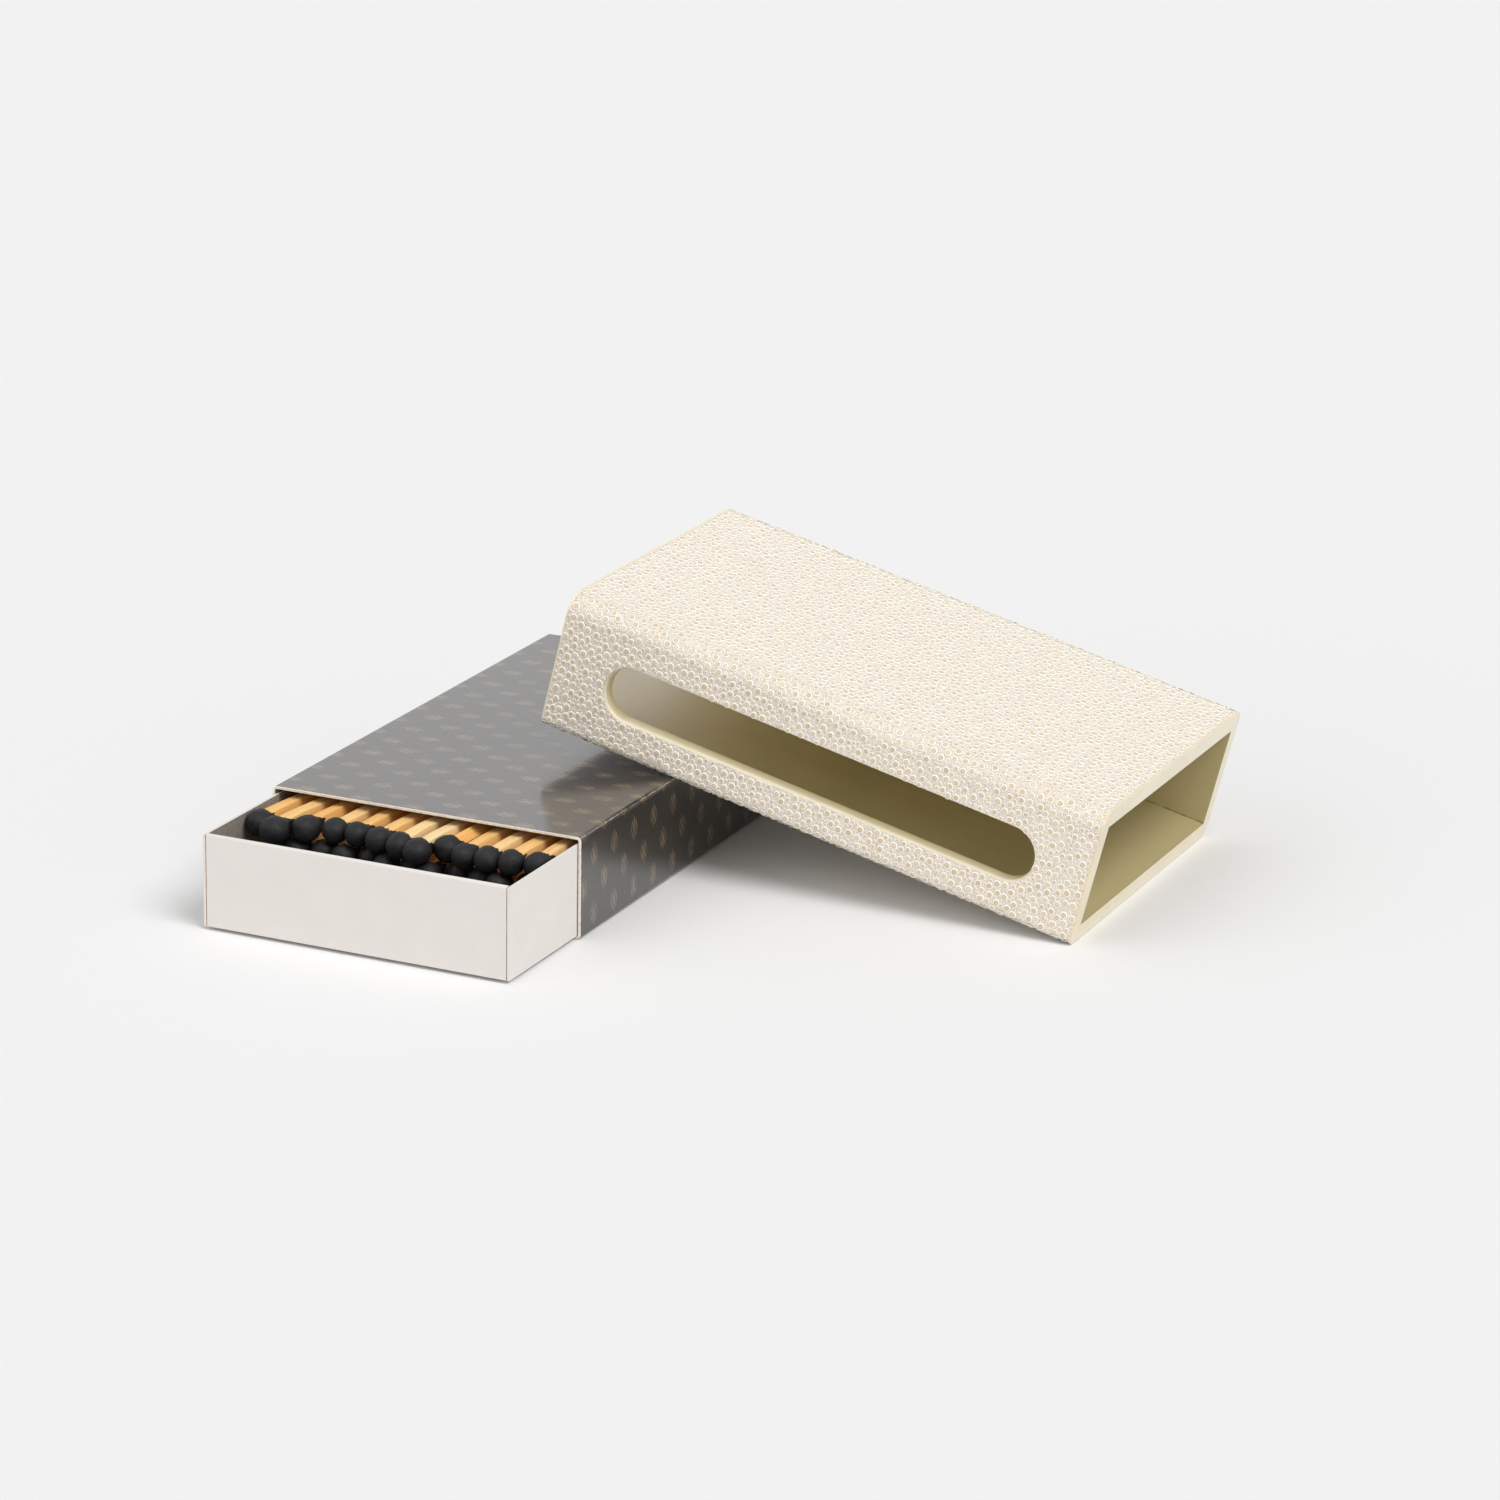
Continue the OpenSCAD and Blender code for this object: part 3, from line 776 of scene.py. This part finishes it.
def add_stick(bm, place, seed, tone, cuts, bow=0.0):
    """One split stick: a squared bar with softened, slightly wavering edges, bowed up by a little."""
    up = place.to_3x3().inverted() @ Vector((0, 0, 1))
    size = Vector((STICK, MATCH_LENGTH - HEAD_RADIUS + STICK_INSET, STICK)) * MM
    middle = Vector((0, size.y / 2 - STICK_INSET * MM, 0))
    part = bmesh.new()
    bmesh.ops.create_cube(part, size=1, matrix=Matrix.Translation(middle) @ Matrix.Diagonal((*size, 1)))
    bmesh.ops.bevel(part, geom=lengthwise(part, size.y), offset=0.16 * MM, offset_type="OFFSET", affect="EDGES",
                    segments=2, profile=0.5, material=-1)
    bmesh.ops.subdivide_edges(part, edges=lengthwise(part, size.y), cuts=cuts, use_grid_fill=True)
    uv, tones = part.loops.layers.uv.new("grain"), part.verts.layers.float.new("tone")
    part.normal_update()
    for f in part.faces:
        upright = abs(f.normal.x) > 0.5
        for loop in f.loops:
            p = loop.vert.co
            loop[uv].uv = ((p.z + 4 * MM if upright else p.x) + seed * 0.011, p.y + seed * 0.037)
    for v in part.verts:
        wave = noise.noise_vector((v.co.x * 180 + seed * 3.1, v.co.y * 110, v.co.z * 180))
        slow = noise.noise_vector((v.co.x * 60 + seed * 1.7, v.co.y * 28, v.co.z * 60 + 5))
        rise = bow * (1 - math.exp(-max(0, v.co.y / MM - 1) / 7)) * (1 - v.co.y / size.y)
        v.co += Vector((wave.x * 0.10 + slow.x * 0.14, 0, wave.z * 0.10 + slow.z * 0.10)) * MM + up * rise * MM
        v[tones] = tone
    join(bm, part, place)


def lengthwise(part, size):
    return [e for e in part.edges if abs(e.verts[0].co.y - e.verts[1].co.y) > size / 2]


HEAD_PROFILE = ((0, -2.25), (0.62, -2.17), (1.2, -1.95), (1.7, -1.54), (2.07, -1.0), (2.28, -0.38), (2.34, 0.3),
                (2.27, 0.95), (2.08, 1.55), (1.83, 2.1), (1.64, 2.6), (1.55, 3.1), (1.5, 3.6), (1.4, 3.75), (0, 3.3))
HEAD_REACH, COAT = 2.44, 0.2


def add_head(bm, place, seed, steps, grow=1.0):
    """One head turned from its profile: lumpy in front, with a ragged coat that runs up the stick's four faces."""
    part = bmesh.new()
    verts = [part.verts.new((r * MM, y * MM, 0)) for r, y in HEAD_PROFILE]
    edges = [part.edges.new(pair) for pair in zip(verts, verts[1:])]
    bmesh.ops.spin(part, geom=verts + edges, cent=(0, 0, 0), axis=(0, 1, 0), angle=math.tau, steps=steps, use_merge=True)
    bmesh.ops.remove_doubles(part, verts=part.verts, dist=0.001 * MM)
    bmesh.ops.recalc_face_normals(part, faces=part.faces)
    for v in part.verts:
        p = v.co / MM
        r = math.hypot(p.x, p.z)
        if r < 0.01:
            continue
        c, s = p.x / r, p.z / r
        lump = noise.noise(Vector((p.x * 0.42 + seed * 5.3, p.y * 0.4, p.z * 0.42)))
        fine = noise.noise(Vector((p.x * 1.3 + seed * 2.9, p.y * 1.1, p.z * 1.3 + 4)))
        neck = min(1.0, max(0.0, (p.y - 1.3) / 1.6))
        rag = noise.noise(Vector((c * 0.9 + seed * 7.7, s * 0.9, 0.5)))
        spike = noise.noise(Vector((c * 2.6 + seed * 1.3, s * 2.6, 2.5)))
        square = (STICK / 2 + COAT * (1 + fine)) / max(abs(c), abs(s)) if r > 1.2 else r
        wide = r * (1 + 0.14 * lump + 0.06 * fine) * (1 - neck) + min(square, r * 1.12) * neck
        wide *= 1 + (grow - 1) * (1 - neck)
        high = min(1, HEAD_REACH / math.hypot(wide, min(p.y, 0)))
        v.co = Vector((c * wide, p.y * grow + neck * (1.9 * rag + 1.3 * spike - 0.1), s * wide * high)) * MM
    join(bm, part, place)


def smooth(bm, name, angle):
    for f in bm.faces:
        f.smooth = True
    mesh = to_mesh(bm, name)
    mesh.set_sharp_from_angle(angle=math.radians(angle))
    return mesh


class TopMatches(bpy.types.Operator):
    """The matches on top, each with its own stick and head"""
    bl_idname = "matchbox.top_matches"
    bl_label = "Top matches"

    def execute(self, context):
        s = context.scene.matchbox.matches
        rng = random.Random(s.seed)
        wood, compound = match_finishes(s)
        tones = (0.15, 0.35, 0.1, 0.45, 0.2, 0.3, 0.85, 0.95, 0.05, 0.3, 0.6, 0.25, 0.4)
        for i in range(13):
            name = f"match_{i + 1:02d}"
            bm = bmesh.new()
            add_stick(bm, top_place(i), i + 1, tones[i], 40, 1.05)
            finished(name + "_split_stick", smooth(bm, name + "_split_stick", 35), [wood], "tray",
                     [name + "_stick"])
            bm = bmesh.new()
            add_head(bm, top_place(i), i + 1 + rng.random(), 28, head_room(i))
            finished(name + "_dipped_head", smooth(bm, name + "_dipped_head", 50), [compound], "tray",
                     [name + "_head"])
        return {"FINISHED"}


class LowerMatches(bpy.types.Operator):
    """The three rows of matches beneath"""
    bl_idname = "matchbox.lower_matches"
    bl_label = "Lower matches"

    def execute(self, context):
        s = context.scene.matchbox.matches
        rng = random.Random(s.seed + 1)
        wood, compound = match_finishes(s)
        for row, name in enumerate(ROWS):
            sticks, heads = bmesh.new(), bmesh.new()
            for i, place in enumerate(row_places(row)):
                number = 20 * (row + 1) + i
                add_stick(sticks, place, number, rng.random(), 16)
                add_head(heads, place, number + rng.random(), 18)
            finished(name + "_split_sticks", smooth(sticks, name + "_split_sticks", 35), [wood], "tray",
                     [name + "_sticks"])
            finished(name + "_dipped_heads", smooth(heads, name + "_dipped_heads", 50), [compound], "tray",
                     [name + "_heads"])
        return {"FINISHED"}


def match_finishes(s):
    """The wood and the compound, made once and shared by all matches."""
    wood = bpy.data.materials.get("split_aspen") or wood_finish(s)
    compound = bpy.data.materials.get("match_compound") or compound_finish(s)
    return wood, compound


# Stage

def sun(name, strength, toward, spread):
    """A soft lamp that lights everything evenly along one direction."""
    data = bpy.data.lights.new(name, "SUN")
    data.energy = strength
    data.angle = math.radians(spread)
    obj = bpy.data.objects.new(name, data)
    obj.rotation_euler = Vector(toward).to_track_quat("-Z", "Y").to_euler()
    bpy.context.scene.collection.objects.link(obj)


def lit_alike(tree, seen, strength):
    """Gives the camera and mirrors one strength of a background, and all other light another."""
    rays = tree.nodes.new("ShaderNodeLightPath")
    total = rays.outputs["Is Camera Ray"]
    for ray in ("Is Glossy Ray", "Is Transmission Ray"):
        add = tree.nodes.new("ShaderNodeMath")
        add.operation = "MAXIMUM"
        tree.links.new(total, add.inputs[0])
        tree.links.new(rays.outputs[ray], add.inputs[1])
        total = add.outputs[0]
    blend = tree.nodes.new("ShaderNodeMapRange")
    blend.inputs["To Min"].default_value = strength
    blend.inputs["To Max"].default_value = seen
    tree.links.new(total, blend.inputs["Value"])
    return blend.outputs[0]


class Stage(bpy.types.Operator):
    """The camera, the pale floor, the soft light and the view settings"""
    bl_idname = "matchbox.stage"
    bl_label = "Stage"

    def execute(self, context):
        s = context.scene.matchbox.stage
        scene = context.scene
        azimuth, pitch, roll = 0.42889, 0.31287, -0.0187
        forward = Vector((-math.sin(azimuth) * math.cos(pitch), math.cos(azimuth) * math.cos(pitch), -math.sin(pitch)))
        right = Vector((math.cos(azimuth), math.sin(azimuth), 0))
        up = right.cross(forward)
        right, up = right * math.cos(roll) - up * math.sin(roll), right * math.sin(roll) + up * math.cos(roll)
        data = bpy.data.cameras.new("camera")
        data.lens, data.sensor_width, data.clip_end = s.lens, 36, 50
        camera = bpy.data.objects.new("camera", data)
        turn = Matrix((right, up, -forward)).transposed()
        camera.matrix_world = Matrix.Translation((0.38524, -0.83723, 0.32375)) @ turn.to_4x4()
        scene.collection.objects.link(camera)
        scene.camera = camera

        bm = bmesh.new()
        bmesh.ops.create_grid(bm, x_segments=1, y_segments=1, size=8)
        bmesh.ops.translate(bm, verts=bm.verts, vec=(0, 0, -0.1 * MM))
        floor = bpy.data.objects.new("floor", to_mesh(bm, "floor"))
        scene.collection.objects.link(floor)
        f = Finish("pale_floor", s.floor, 0.9, Specular_IOR_Level=0.0)
        floor.data.materials.append(f.material)

        world = bpy.data.worlds.new("soft_light")
        scene.world = world
        world.use_nodes = True
        back = world.node_tree.nodes["Background"]
        back.inputs["Color"].default_value = (*s.floor, 1)
        world.node_tree.links.new(lit_alike(world.node_tree, 1.0, s.sky), back.inputs["Strength"])
        sun("key_light", s.key, (-0.75, 0.3, -1), 35)
        sun("front_light", s.fill, (0.6, 0.9, -0.4), 60)
        sun("left_light", s.side, (0.55, 0.2, -1), 50)
        scene.view_settings.view_transform = "Standard"
        return {"FINISHED"}


class MatchboxPanel(bpy.types.Panel):
    """Buttons for each piece and the settings they use"""
    bl_idname = "VIEW3D_PT_matchbox"
    bl_label = "Matchbox holder"
    bl_space_type = "VIEW_3D"
    bl_region_type = "UI"
    bl_category = "Matchbox"

    def draw(self, context):
        settings = context.scene.matchbox
        groups = ((settings.stage, (Stage,)), (settings.holder, (ResinSleeve, Shagreen)), (settings.box, (Cover, Tray)),
                  (settings.matches, (TopMatches, LowerMatches)))
        for group, operators in groups:
            box = self.layout.box()
            for name in group.bl_rna.properties.keys():
                if name not in ("rna_type", "name"):
                    box.prop(group, name)
            for operator in operators:
                box.operator(operator.bl_idname)


CLASSES = (StageSettings, HolderSettings, BoxSettings, MatchSettings, MatchboxSettings, Stage, ResinSleeve, Shagreen,
           Cover, Tray, TopMatches, LowerMatches, MatchboxPanel)


def register():
    for c in CLASSES:
        bpy.utils.register_class(c)
    bpy.types.Scene.matchbox = PointerProperty(type=MatchboxSettings)


def unregister():
    del bpy.types.Scene.matchbox
    for c in reversed(CLASSES):
        bpy.utils.unregister_class(c)


def main():
    register()
    bpy.ops.matchbox.stage()
    bpy.ops.matchbox.resin_sleeve()
    bpy.ops.matchbox.shagreen()
    bpy.ops.matchbox.cover()
    bpy.ops.matchbox.tray()
    bpy.ops.matchbox.top_matches()
    bpy.ops.matchbox.lower_matches()


if __name__ == "__main__":
    main()
